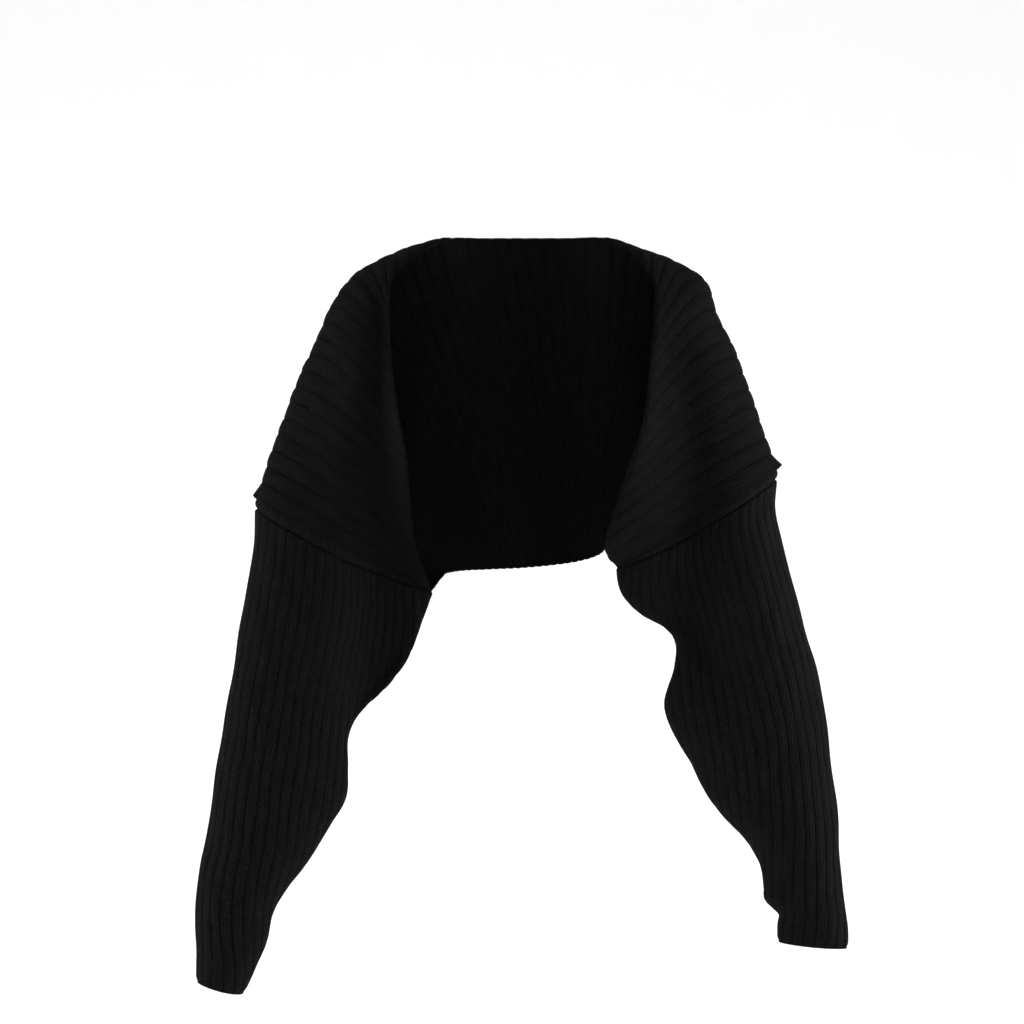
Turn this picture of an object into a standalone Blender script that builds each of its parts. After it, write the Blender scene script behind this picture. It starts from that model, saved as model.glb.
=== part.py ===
"""A rib-knit shrug with long batwing sleeves, in the hollow form that it has when worn.

The body is one ribbed panel. Its ribs lie side by side from one sleeve seam, round the back of the
neck, to the other sleeve seam. Each rib runs from the front edge, over the shoulder and down the
back to the hem. The two sleeves are tapering tubes sewn to the panel's ends. Their ribs run
lengthwise and run off at the underarm seam, where the sleeve is shaped.

Sizes are in millimetres until a wall is made. +X is the viewer's right, +Z is up and the front faces
-Y. The origin is the middle of the back neck edge, where the shrug rests on its wearer's neck.
"""
from math import pi

import bmesh
import bpy
import numpy as np

MM = 0.001                  # metres in a millimetre

SEAM_GAP = 0.3              # between two sewn pieces
EDGE_GAP = 0.9              # between the panel's two corners, where they meet under the arm
WALL = 2.4                  # knit, in the valley between two ribs
BODY_RIB_HEIGHT = 2.2       # crest of a body rib above the valley
SLEEVE_RIB_HEIGHT = 1.5     # crest of a sleeve rib above the valley
BODY_RIBS = 50              # from one sleeve seam to the other
SLEEVE_RIB_PITCH = 11.8
CREST_START = 0.30          # a rib's flat crest starts and ends at these parts of its width
CREST_END = 0.70
SEAM_LIP = 4.5              # the seam's allowance flares out this far past the body's wall
FLAP_LEFT = 2.5             # and this much further in a small flap on each shoulder line
FLAP_RIGHT = 5.0
FLAP_WIDTH = 12.0
SEAM_TURN = 3.0             # body ribs over which the wall turns to meet the sleeve squarely
PLAIN_BAND = 16.0           # sleeve without ribs, next to the seam
BODY_ROWS = 19              # steps along a body rib
ROWS_TO_FRONT = 1.12        # above 1, the steps are closer together on the front
SEAM_STEPS = 64             # steps round the body's end, at the seam
SLEEVE_ROWS = 15            # rings along a sleeve
FINE_STEPS = 72             # steps in half a section before it is spaced evenly


def table(names, *rows):
    """A short table: one array of numbers for each named column."""
    return {name: np.array(column, float) for name, column in zip(names.split(), zip(*rows))}


# ---- the shoulder ridge, from one sleeve seam to the other: the top line of the shrug ----
RIDGE = table(
    "x      y    z",
    (-303, -60, -299), (-285, -59, -243), (-260, -57, -175), (-230, -55, -107),
    (-216, -54, -75), (-194, -53, -47), (-161, -52, -27), (-121, -52, -12),
    (-87, -46, -4), (-45, -12, -1), (0, 0, 0), (45, -12, -1), (88, -46, -4),
    (127, -52, -17), (163, -52, -31), (199, -53, -53), (213, -54, -92),
    (237, -55, -142), (260, -57, -209), (280, -58, -266))

# ---- the front edge on each side, from the side of the neck down to the underarm ----
EDGE_LEFT = table(
    "x      y    z",
    (-87, -46, -4), (-113, -70, -18), (-137, -92, -36), (-151, -110, -56),
    (-153, -130, -95), (-150, -148, -146), (-143, -158, -199), (-136, -146, -242),
    (-131, -112, -300), (-127, -72, -350), (-110, -22, -403))
EDGE_RIGHT = table(
    "x      y    z",
    (88, -46, -4), (113, -70, -18), (130, -90, -36), (141, -108, -59),
    (141, -130, -100), (135, -150, -155), (128, -163, -208), (115, -160, -252),
    (101, -148, -295), (88, -128, -341), (90, -110, -360), (102, -95, -374))

# ---- the back hem, from one underarm to the other ----
HEM = table(
    "x      y    z",
    (-110, -22, -403), (-102, -17, -391), (-96, -2, -385), (-93, 20, -382),
    (-76, 45, -380), (-44, 60, -379), (0, 63, -377), (52, 58, -371),
    (82, 40, -362), (91, 12, -350), (90, -22, -339), (86, -52, -334),
    (87, -75, -341), (92, -88, -355), (102, -95, -374))

# ---- how full a body rib is, by its place: 0 at the side of the neck, 1 at the sleeve seam ----
BODY_FULLNESS = table(
    "place  front  back  pinch  front_turn  back_turn",
    (-1.0, 0, 36, 0.00, 80, 120),
    (0.0, 4, 40, 0.00, 80, 120),
    (0.2, 22, 48, 0.00, 95, 124),
    (0.4, 38, 56, 0.05, 110, 132),
    (0.6, 50, 62, 0.15, 125, 145),
    (0.8, 58, 62, 0.30, 150, 165),
    (1.0, 62, 58, 0.45, 180, 180))

# ---- sections of each sleeve: its outer line, its underarm line and its fullness ----
SLEEVE_LEFT = table(
    "outer_x outer_y outer_z   under_x under_y under_z   front back pinch",
    (-303, -60, -299, -110, -22, -403, 62, 58, 0.45),
    (-304, -62, -336, -119, -26, -428, 60, 56, 0.45),
    (-308, -64, -373, -128, -32, -453, 58, 54, 0.42),
    (-314, -66, -409, -138, -40, -478, 56, 52, 0.38),
    (-320, -68, -444, -160, -50, -508, 53, 50, 0.34),
    (-325, -70, -478, -192, -59, -539, 50, 48, 0.30),
    (-332, -72, -518, -205, -64, -567, 48, 46, 0.26),
    (-339, -74, -563, -205, -67, -601, 47, 45, 0.22),
    (-346, -76, -602, -207, -69, -634, 46, 43, 0.18),
    (-351, -79, -640, -225, -73, -665, 44, 41, 0.14),
    (-356, -82, -679, -249, -78, -704, 41, 38, 0.10),
    (-363, -85, -711, -273, -83, -735, 38, 36, 0.06),
    (-367, -88, -744, -288, -87, -762, 35, 33, 0.04),
    (-368, -91, -777, -294, -90, -792, 32, 31, 0.02),
    (-366, -94, -808, -306, -93, -820, 30, 29, 0.00),
    (-366, -96, -836, -319, -96, -849, 29, 28, 0.00))
SLEEVE_RIGHT = table(
    "outer_x outer_y outer_z   under_x under_y under_z   front back pinch",
    (280, -58, -266, 102, -95, -374, 50, 72, 0.45),
    (277, -60, -305, 108, -95, -402, 50, 68, 0.45),
    (284, -62, -345, 128, -94, -424, 50, 64, 0.42),
    (292, -64, -379, 157, -90, -441, 50, 60, 0.38),
    (300, -66, -410, 170, -86, -462, 50, 56, 0.34),
    (309, -68, -444, 167, -84, -493, 50, 54, 0.30),
    (320, -70, -480, 157, -82, -528, 50, 51, 0.26),
    (327, -72, -514, 167, -82, -560, 49, 49, 0.22),
    (333, -74, -548, 186, -82, -592, 48, 47, 0.18),
    (337, -77, -587, 203, -83, -626, 46, 45, 0.14),
    (342, -80, -626, 223, -84, -653, 43, 42, 0.10),
    (345, -83, -661, 248, -86, -679, 40, 39, 0.06),
    (346, -86, -695, 264, -89, -707, 36, 36, 0.04),
    (349, -89, -728, 269, -91, -737, 32, 32, 0.02),
    (352, -92, -757, 274, -93, -758, 28, 28, 0.00),
    (353, -94, -779, 280, -95, -779, 24, 24, 0.00),
    (352, -96, -798, 286, -96, -799, 21, 21, 0.00))

# ---- the largest folds: soft troughs, or ridges where the depth is below 0 ----
# Each runs from (x0, z0) to (x1, z1); side is -1 on the front of the shrug and 1 on its back.
FOLDS = table(
    "x0     z0     x1     z1    width depth side",
    (-156, -200, -162, -455, 19, 14, -1),
    (-196, -425, -152, -472, 12, -5, -1),
    (-196, -520, -176, -560, 11, 5, -1),
    (192, -240, 204, -455, 20, 16, -1),
    (160, -395, 200, -470, 12, 5, -1),
    (-118, -170, -145, -380, 24, 9, 1),
    (122, -170, 145, -360, 24, 9, 1),
    (-205, -270, -215, -470, 22, 8, 1),
    (205, -250, 215, -450, 22, 8, 1))


def points_of(columns, prefix=""):
    """The x, y and z columns of a table as a list of points."""
    return np.stack([columns[prefix + axis] for axis in "xyz"], axis=1)


def spline(rows, place):
    """Smooth values between the rows (Catmull-Rom); place 0 is the first row, 1 the next."""
    rows = np.asarray(rows, float)
    place = np.clip(np.asarray(place, float), 0, len(rows) - 1)
    start = np.minimum(place.astype(int), len(rows) - 2)
    part = place - start
    if rows.ndim > 1:
        part = part[..., None]
    before, first = rows[np.maximum(start - 1, 0)], rows[start]
    last, after = rows[start + 1], rows[np.minimum(start + 2, len(rows) - 1)]
    return first + 0.5 * part * (
        last - before + part * (
            2 * before - 5 * first + 4 * last - after + part * (
                3 * (first - last) + after - before)))


def distances(line):
    """How far each point of a line lies along it."""
    steps = np.linalg.norm(np.diff(line, axis=0), axis=1)
    return np.concatenate([[0.0], np.cumsum(steps)])


def along(line, at, along_line=None):
    """The points at given distances along a line."""
    here = distances(line) if along_line is None else along_line
    return np.stack([np.interp(at, here, line[:, axis]) for axis in range(3)], axis=1)


def fine(points):
    """A smooth line through a few points, in short steps."""
    return spline(points, np.linspace(0, len(points) - 1, 24 * (len(points) - 1) + 1))


def half_section(outer, end, bulge, pinch, turn, side):
    """Half a section, from the outer line round the front (side -1) or the back (1) to its end.

    It leaves the outer line square to the viewer. A turn of 180 degrees closes it round the
    end, and less leaves it open there. The pinch thins it towards the end.
    """
    angle = np.linspace(0, np.radians(turn), FINE_STEPS + 1)
    reach = (1 - np.cos(angle)) / (1 - np.cos(angle[-1]))
    out = (np.sin(angle) - reach * np.sin(angle[-1])) * bulge * (1 - pinch * reach)
    half = outer + reach[:, None] * (end - outer)
    half[:, 1] += side * out
    return fold(half, side)


def fold(half, side):
    """The same half section with the largest folds pressed into it."""
    half = half.copy()
    near_ends = np.sin(np.linspace(0, pi, len(half))) ** 0.5
    for x0, z0, x1, z1, width, depth, fold_side in zip(*FOLDS.values()):
        if fold_side != side:
            continue
        start, run = np.array([x0, z0]), np.array([x1 - x0, z1 - z0])
        offset = half[:, (0, 2)] - start
        length = np.hypot(*run)
        forward = offset @ run / length
        sideways = (offset[:, 0] * run[1] - offset[:, 1] * run[0]) / length
        past_end = np.maximum(np.maximum(-forward, forward - length), 0)
        away = np.hypot(sideways / width, past_end / (2 * width))
        half[:, 1] -= side * depth * np.exp(-away ** 2) * near_ends
    return half


RIDGE_LINE = fine(points_of(RIDGE))
RIDGE_AT = distances(RIDGE_LINE)
NECK_ROWS = [np.argmin(np.abs(RIDGE["x"] - x)) for x in (-87, 88)]
NECK_AT = [RIDGE_AT[24 * row] for row in NECK_ROWS]


def body_rib(rib):
    """One rib's line, from the front edge, over the shoulder and down the back to the hem.

    rib counts from 0 at the left sleeve seam to BODY_RIBS at the right one.
    """
    at = RIDGE_AT[-1] * rib / BODY_RIBS
    ridge = along(RIDGE_LINE, [at], RIDGE_AT)[0]
    hem_line = fine(points_of(HEM))
    hem = along(hem_line, [distances(hem_line)[-1] * rib / BODY_RIBS])[0]
    if at < NECK_AT[0]:
        place, edge_line, full = 1 - at / NECK_AT[0], fine(points_of(EDGE_LEFT)), SLEEVE_LEFT
    elif at > NECK_AT[1]:
        place = (at - NECK_AT[1]) / (RIDGE_AT[-1] - NECK_AT[1])
        edge_line, full = fine(points_of(EDGE_RIGHT)), SLEEVE_RIGHT
    else:
        middle = (NECK_AT[0] + NECK_AT[1]) / 2
        place, edge_line, full = abs(at - middle) / (NECK_AT[1] - middle) - 1, None, SLEEVE_LEFT
    size = {name: np.interp(place, BODY_FULLNESS["place"], BODY_FULLNESS[name])
            for name in BODY_FULLNESS}
    for name in ("front", "back"):          # at the seam the sleeve's own fullness holds
        size[name] *= 1 + max(place, 0) ** 2 * (full[name][0] / BODY_FULLNESS[name][-1] - 1)
    edge_gap = np.array([0, EDGE_GAP / 2, 0]) * max(place, 0) ** 8
    back = half_section(ridge, hem + edge_gap, size["back"], size["pinch"], size["back_turn"], 1)
    if place <= 0:
        return back
    edge = along(edge_line, [distances(edge_line)[-1] * place])[0]
    front = half_section(ridge, edge - edge_gap, size["front"], size["pinch"],
                         size["front_turn"], -1)
    return np.concatenate([front[::-1], back[1:]])


def seam_normals(loop):
    """Outward directions along a sleeve seam, in the seam's own plane."""
    middle = loop.mean(axis=0)
    across = np.cross(loop[len(loop) // 4] - middle, loop[len(loop) // 2] - middle)
    across /= np.linalg.norm(across)
    ahead = np.gradient(loop, axis=0)
    out = np.cross(ahead, across)
    out /= np.linalg.norm(out, axis=1)[:, None]
    if np.sum((loop - middle) * out) < 0:
        out = -out
    return out, across


def sleeve_section(sections, place):
    """A sleeve's ring at a place between the table's rows: its back half and its front half."""
    value = {name: spline(sections[name], place) for name in sections}
    outer = np.array([value["outer_" + axis] for axis in "xyz"])
    under = np.array([value["under_" + axis] for axis in "xyz"])
    return [half_section(outer, under, value[name], value["pinch"], 180, side)
            for name, side in (("back", 1), ("front", -1))]


def rib_height(phase, height):
    """Height of the knit's face over the valley; phase counts ribs from a valley."""
    inside = np.mod(phase + 1e-6, 1)
    rise = np.minimum(inside / CREST_START, (1 - inside) / (1 - CREST_END))
    return height * np.clip(rise, 0, 1)


def unit(vectors):
    return vectors / np.linalg.norm(vectors, axis=-1, keepdims=True)


def rib_marks(first, last, phases):
    """Places of the valleys alone, or of each rib's valley and both crest corners."""
    marks = [rib + phase for rib in range(first, last) for phase in phases]
    return np.array(marks + [last], float)


# ---------------------------------------------------------------- making a wall of two skins

class Wall:
    """A closed wall, built from lines of points that are zipped side by side."""

    def __init__(self):
        self.mesh = bmesh.new()

    def line(self, points):
        return [self.mesh.verts.new(tuple(point * MM)) for point in points]

    def zip(self, first, first_at, second, second_at):
        """Faces between two lines of points, matched by their places along the lines."""
        i = j = 0
        while i < len(first) - 1 or j < len(second) - 1:
            next_first = first_at[i + 1] if i < len(first) - 1 else np.inf
            next_second = second_at[j + 1] if j < len(second) - 1 else np.inf
            step_i = next_first <= next_second + 1e-6
            step_j = next_second <= next_first + 1e-6
            corners = [first[i]]
            if step_i:
                corners.append(first[i + 1])
            if step_j:
                corners.append(second[j + 1])
            corners.append(second[j])
            corners = list(dict.fromkeys(corners))
            if len(corners) > 2:
                self.mesh.faces.new(corners)
            i += step_i
            j += step_j

    def finish(self, name, colour):
        bmesh.ops.triangulate(self.mesh, faces=self.mesh.faces[:])
        bmesh.ops.recalc_face_normals(self.mesh, faces=self.mesh.faces[:])
        data = bpy.data.meshes.new(name)
        self.mesh.to_mesh(data)
        self.mesh.free()
        data.shade_smooth()
        data.set_sharp_from_angle(angle=pi / 5)
        data.materials.append(knit_material(name + "_knit", colour))
        piece = bpy.data.objects.new(name, data)
        bpy.context.scene.collection.objects.link(piece)
        return piece


def knit_material(name, colour):
    material = bpy.data.materials.new(name)
    material.use_nodes = True
    shader = material.node_tree.nodes["Principled BSDF"]
    shader.inputs["Base Color"].default_value = (*colour, 1)
    shader.inputs["Roughness"].default_value = 0.9
    shader.inputs["Metallic"].default_value = 0
    return material


# ------------------------------------------------------------------------------- the pieces

def body_panel():
    """The body: lines of points along the ribs, outside with the ribs and inside plain."""
    rows = np.linspace(0, 1, BODY_ROWS + 1) ** ROWS_TO_FRONT
    seam_rows = np.linspace(0, 1, SEAM_STEPS + 1)

    def base(rib, share=rows):
        whole = body_rib(rib)
        return along(whole, share * distances(whole)[-1])

    marks = rib_marks(0, BODY_RIBS, (0, CREST_START, CREST_END))
    lines = np.array([base(rib) for rib in marks])
    across_ribs, along_ribs = np.gradient(lines, axis=0), np.gradient(lines, axis=1)
    out = unit(np.cross(across_ribs, along_ribs))
    height = WALL + rib_height(marks, BODY_RIB_HEIGHT)
    for rib in (0, BODY_RIBS):              # near a seam, the wall turns into the seam's plane
        from_seam = np.abs(marks - rib)
        near = np.clip(1 - from_seam / SEAM_TURN, 0, 1)[:, None, None]
        out = unit(out * (1 - near) + near * seam_normals(base(rib))[0])
        height = np.where(from_seam < 1, WALL + SEAM_LIP * (1 - from_seam), height)
    outside = list(lines + out * height[:, None, None])
    inner_marks = rib_marks(0, BODY_RIBS, (0,))
    inside = [base(rib) for rib in inner_marks]
    for rib, index, toward, flap in ((0, 0, 1, FLAP_LEFT), (BODY_RIBS, -1, -1, FLAP_RIGHT)):
        loop = base(rib, seam_rows)
        normal, across = seam_normals(loop)
        loop = loop + across * np.sign(across[0]) * toward * SEAM_GAP / 2
        from_ridge = np.linalg.norm(loop - points_of(RIDGE)[index], axis=1)
        lip = WALL + SEAM_LIP + flap * np.exp(-(from_ridge / FLAP_WIDTH) ** 2)
        inside[index] = loop
        outside[index] = loop + normal * lip[:, None]

    wall = Wall()
    skins = {}
    for name, skin in (("outside", outside), ("inside", inside)):
        skins[name] = [(wall.line(line), rows if len(line) == len(rows) else seam_rows)
                       for line in skin]
        for (one, one_at), (other, other_at) in zip(skins[name], skins[name][1:]):
            wall.zip(one, one_at, other, other_at)
    for end in (0, -1):
        (one, one_at), (other, other_at) = skins["outside"][end], skins["inside"][end]
        wall.zip(one, one_at, other, other_at)
        wall.zip([line[end] for line, _ in skins["outside"]], marks,
                 [line[end] for line, _ in skins["inside"]], inner_marks)
    return wall.finish("body_panel", (0.012, 0.012, 0.013))


def sleeve(name, sections, side):
    """A sleeve: rings of points whose spacing follows the ribs, so ribs run off underneath."""
    last = len(sections["front"]) - 1
    down = distances(spline(points_of(sections, "outer_"), np.linspace(0, last, 10 * last + 1)))
    from_seam = np.append(0, np.linspace(PLAIN_BAND, down[-1], SLEEVE_ROWS))
    places = np.interp(from_seam, down, np.linspace(0, last, 10 * last + 1))

    def ring(place, spacing):
        """Points round one section at whole steps of the spacing, and how far each lies."""
        back, front = sleeve_section(sections, place)
        halves, at = [], []
        for half, sign in ((back, -1), (front, 1)):
            here = distances(half)
            steps = np.arange(0, here[-1] - 0.35 * spacing, spacing)
            steps = np.append(steps, here[-1])
            halves.append(along(half, steps, here))
            at.append(sign * steps)
        points = np.concatenate([halves[0][::-1], halves[1][1:]])
        return points, np.concatenate([at[0][::-1], at[1][1:]])

    def ring_normals(place, at):
        """Outward directions, from the slopes round and along the sleeve."""
        step = 0.15
        near = [np.clip(place + shift, 0, len(sections["front"]) - 1) for shift in (-step, step)]
        rings = []
        for where in (place, *near):
            back, front = sleeve_section(sections, where)
            whole = np.concatenate([back[::-1], front[1:]])
            here = np.concatenate([-distances(back)[::-1], distances(front)[1:]])
            share = np.where(here < 0, here / -here[0], here / here[-1])
            rings.append((whole, here, share))
        whole, here, share = rings[0]
        own_share = np.where(at < 0, at / -here[0], at / here[-1])
        reach = 0.012
        around = (along(whole, np.clip(own_share + reach, -1, 1), share)
                  - along(whole, np.clip(own_share - reach, -1, 1), share))
        under = np.abs(own_share) > 1 - 1e-6        # the slope at the underarm fold
        around[under] = whole[2] - whole[-3]
        length = along(rings[2][0], own_share, rings[2][2]) - along(rings[1][0], own_share,
                                                                    rings[1][2])
        return unit(np.cross(around, length)) * side

    wall = Wall()
    skins = {}
    for skin, spacing in (("outside", SLEEVE_RIB_PITCH / 3), ("inside", SLEEVE_RIB_PITCH)):
        skins[skin] = []
        for place, distance in zip(places, from_seam):
            points, at = ring(place, spacing)
            if place == 0:
                out, across = seam_normals(points)
                if across[2] > 0:
                    across = -across
                points = points + across * SEAM_GAP / 2
            else:
                out = ring_normals(place, at)
            if skin == "outside":
                height = np.full(len(at), WALL)
                if distance > PLAIN_BAND:
                    height += rib_height(np.abs(at) / SLEEVE_RIB_PITCH, SLEEVE_RIB_HEIGHT)
                height[[0, -1]] = WALL
                points = points + out * height[:, None]
            verts = wall.line(points[:-1])
            skins[skin].append((verts + verts[:1], at))
    for rings in skins.values():
        for (one, one_at), (other, other_at) in zip(rings, rings[1:]):
            wall.zip(one, one_at, other, other_at)
    for end in (0, -1):
        (one, one_at), (other, other_at) = skins["outside"][end], skins["inside"][end]
        wall.zip(one, one_at, other, other_at)
    return wall.finish(name, (0.012, 0.012, 0.013))


def main():
    for thing in list(bpy.data.objects):
        bpy.data.objects.remove(thing)
    body_panel()
    sleeve("sleeve_left", SLEEVE_LEFT, -1)
    sleeve("sleeve_right", SLEEVE_RIGHT, 1)


main()
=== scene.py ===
# %% [markdown]
# # A rib-knit shrug with long batwing sleeves
#
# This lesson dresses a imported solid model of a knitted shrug. The real thing is three pieces of
# rib knit: one wide panel that lies across the back and over both shoulders, and two sleeves
# sewn to its ends. Its ribs are thick, its colour is nearly black, and it hangs hollow, in the
# shape it takes when it is worn.
#
# Each piece starts as a flat grid, like the knitted piece on the maker's table. The grid is
# then carried, point by point, to its place on the garment. This keeps every rib in one piece
# from edge to edge, and it leaves each point with its flat place, which the knit's stitches
# follow later.

# %% Frame
from math import pi

import bmesh
import bpy
import numpy as np
from mathutils import Matrix, Vector


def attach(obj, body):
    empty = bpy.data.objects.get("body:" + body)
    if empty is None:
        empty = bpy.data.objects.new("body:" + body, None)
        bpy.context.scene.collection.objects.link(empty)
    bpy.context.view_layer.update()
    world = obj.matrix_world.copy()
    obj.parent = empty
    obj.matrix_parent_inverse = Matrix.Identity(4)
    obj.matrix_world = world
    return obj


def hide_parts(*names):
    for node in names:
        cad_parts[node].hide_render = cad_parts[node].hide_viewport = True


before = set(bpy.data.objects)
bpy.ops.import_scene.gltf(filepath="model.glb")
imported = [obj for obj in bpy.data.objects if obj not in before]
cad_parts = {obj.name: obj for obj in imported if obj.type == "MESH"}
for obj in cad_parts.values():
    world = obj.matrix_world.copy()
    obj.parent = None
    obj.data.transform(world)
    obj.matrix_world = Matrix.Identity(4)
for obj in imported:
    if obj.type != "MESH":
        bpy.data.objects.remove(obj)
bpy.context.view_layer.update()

# %% [markdown]
# ## Camera
#
# The garment is seen straight from the front, at chest height, from a little over three metres.
# A long lens keeps the shoulders and the cuffs at nearly the same scale. The scale in the plane
# of the arms gives the lens: 1.13 mm of cloth to each of the picture's 1024 steps.

# %% Camera
MM = 0.001
PICTURE = 1024                  # steps across the square picture
PIXEL = 1.13 * MM               # size of one picture step, in the plane of the arms
NECK_COLUMN, NECK_ROW = 527, 235    # where the middle of the back neck edge is seen
ARM_PLANE_Y = -60 * MM
DISTANCE = 3.2

view = bpy.data.cameras.new("studio_camera")
view.sensor_width = 36
view.lens = view.sensor_width * DISTANCE / (PICTURE * PIXEL)
camera = bpy.data.objects.new("studio_camera", view)
bpy.context.scene.collection.objects.link(camera)
camera.location = ((PICTURE / 2 - NECK_COLUMN) * PIXEL, ARM_PLANE_Y - DISTANCE,
                   (NECK_ROW - PICTURE / 2) * PIXEL)
camera.rotation_euler = (pi / 2, 0, 0)
bpy.context.scene.camera = camera
print(f"camera: {view.lens:.1f} mm lens at {tuple(round(v, 3) for v in camera.location)}")

# %% [markdown]
# ## Small tools
#
# One turns a colour from its hex code to the linear numbers that shaders use, and one adds a
# node with its settings and links in one line. The others start a material, make it as matt as
# yarn, and turn a finished mesh into an object.

# %% Colour, material and object helpers
def linear(code):
    """A hex colour such as "1a1b1d" as linear red, green, blue and alpha."""
    parts = [int(code[i:i + 2], 16) / 255 for i in (0, 2, 4)]
    return (*[p / 12.92 if p <= 0.04045 else ((p + 0.055) / 1.055) ** 2.4 for p in parts], 1)


def node(material, kind, settings=None, **inputs):
    """Add a shader node. An input is a value, or another node's output to link from."""
    tree = material.node_tree
    made = tree.nodes.new("ShaderNode" + kind)
    for name, value in (settings or {}).items():
        setattr(made, name, value)
    for name, value in inputs.items():
        socket = made.inputs[int(name[1:]) if name[1:].isdigit() else name.replace("_", " ")]
        if isinstance(value, bpy.types.NodeSocket):
            tree.links.new(value, socket)
        else:
            socket.default_value = value
    return made


def new_material(name):
    """A material with its Principled shader, ready for its nodes."""
    material = bpy.data.materials.new(name)
    material.use_nodes = True
    return material, material.node_tree.nodes["Principled BSDF"]


def matt_yarn(shader):
    """No gloss, only the faint sheen of the fibres that stand off a yarn."""
    for name, value in (("Roughness", 0.92), ("Specular IOR Level", 0.02),
                        ("Sheen Weight", 0.012), ("Sheen Roughness", 0.45),
                        ("Sheen Tint", linear("8e8f91"))):
        shader.inputs[name].default_value = value


def finished(mesh, name, material=None):
    """Make a smooth object of a bmesh and put it in the scene."""
    data = bpy.data.meshes.new(name)
    mesh.to_mesh(data)
    mesh.free()
    data.shade_smooth()
    piece = bpy.data.objects.new(name, data)
    bpy.context.scene.collection.objects.link(piece)
    if material:
        data.materials.append(material)
    return piece


print("test colour:", tuple(round(v, 4) for v in linear("1a1b1d")))

# %% [markdown]
# ## Floor and light
#
# A photographer would hang the garment in front of a pale paper sweep. Here the sweep is a
# shallow round bowl, made by spinning one curved line, so that it looks the same from every
# side and shows no horizon. The light comes from large soft panels. Black knit gives back very
# little light, so the two strong panels stand to the sides, where they graze the ribs and show
# their form. The weak ones in front and above keep the shaded cloth from turning quite black,
# and the two behind light the garment's back and the paper.

# %% Sweep
PAPER_RADIUS = 7.5
PAPER_RISE = 7.0
PAPER_FLOOR_Z = -1.35
PAPER_BEND = 6.0                # a wide bend, so that floor and wall melt into each other
PAPER_GLOW = 0.235              # light that shines through the paper
BEND_STEPS = 24
ROUND_STEPS = 64

paper, paper_shader = new_material("matt_white_paper")
paper_shader.inputs["Base Color"].default_value = linear("f9f9f9")
paper_shader.inputs["Roughness"].default_value = 1.0
paper_shader.inputs["Specular IOR Level"].default_value = 0.0
paper_shader.inputs["Emission Color"].default_value = linear("ffffff")
paper_shader.inputs["Emission Strength"].default_value = PAPER_GLOW

bowl = bmesh.new()
floor = PAPER_RADIUS - PAPER_BEND
line = [(0, 0), (floor, 0)]
line += [(floor + PAPER_BEND * np.sin(a), PAPER_BEND - PAPER_BEND * np.cos(a))
         for a in np.linspace(0, pi / 2, BEND_STEPS + 1)[1:]]
line += [(PAPER_RADIUS, PAPER_RISE)]
profile = [bowl.verts.new((r, 0, z + PAPER_FLOOR_Z)) for r, z in line]
edges = [bowl.edges.new(pair) for pair in zip(profile, profile[1:])]
bmesh.ops.spin(bowl, geom=profile + edges, axis=(0, 0, 1), cent=(0, 0, 0),
               steps=ROUND_STEPS, angle=2 * pi, use_merge=True)
bmesh.ops.remove_doubles(bowl, verts=bowl.verts[:], dist=1e-5)
bmesh.ops.recalc_face_normals(bowl, faces=bowl.faces[:])
bmesh.ops.reverse_faces(bowl, faces=bowl.faces[:])
sweep = finished(bowl, "paper_sweep", paper)
print("sweep:", len(sweep.data.polygons), "faces")

# %% Light
SKY_STRENGTH = 0.22
LIGHTS = {                      # place, size, watts, aimed at
    "left_panel": ((-2.7, -0.1, -0.2), (1.6, 2.2), 84, (-0.1, 0, -0.35)),
    "right_panel": ((2.9, 0.0, -0.2), (1.6, 2.2), 132, (0.1, 0, -0.35)),
    "front_panel": ((1.2, -3.4, 0.0), (1.8, 1.2), 7, (0, 0, -0.4)),
    "top_panel": ((0, -0.7, 2.3), (2.2, 1.0), 14, (0, 0, -0.3)),
    "back_panel": ((0, 3.0, 1.4), (2.4, 1.4), 22, (0, 0, -0.3)),
    "wall_panel": ((0, 2.6, 0.4), (3.2, 1.4), 22, (0, 7.5, 2.2)),
}


def add_panel(name, place, size, watts, target):
    """A soft rectangle of light that shines at its target and isn't seen itself."""
    lamp = bpy.data.lights.new(name, "AREA")
    lamp.shape = "RECTANGLE"
    lamp.size, lamp.size_y = size
    lamp.energy = watts
    panel = bpy.data.objects.new(name, lamp)
    bpy.context.scene.collection.objects.link(panel)
    panel.location = place
    panel.visible_camera = False
    panel.rotation_euler = (Vector(target) - Vector(place)).to_track_quat("-Z", "Y").to_euler()


for name, (place, size, watts, target) in LIGHTS.items():
    add_panel(name, place, size, watts, target)

world = bpy.data.worlds.new("studio")
bpy.context.scene.world = world
world.use_nodes = True
world.node_tree.nodes["Background"].inputs["Color"].default_value = linear("fbfbfb")
world.node_tree.nodes["Background"].inputs["Strength"].default_value = SKY_STRENGTH
bpy.context.scene.view_settings.view_transform = "Standard"
print("lights:", len(LIGHTS), "panels and a pale sky")

# %% [markdown]
# ## The garment's measurements
#
# The panel and the sleeves are described by a few measured lines: the shoulder ridge, the front
# edges, the hem, and the sections of each sleeve. They are in millimetres, in the same frame as
# the solid model. Smooth curves run between the rows.

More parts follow.
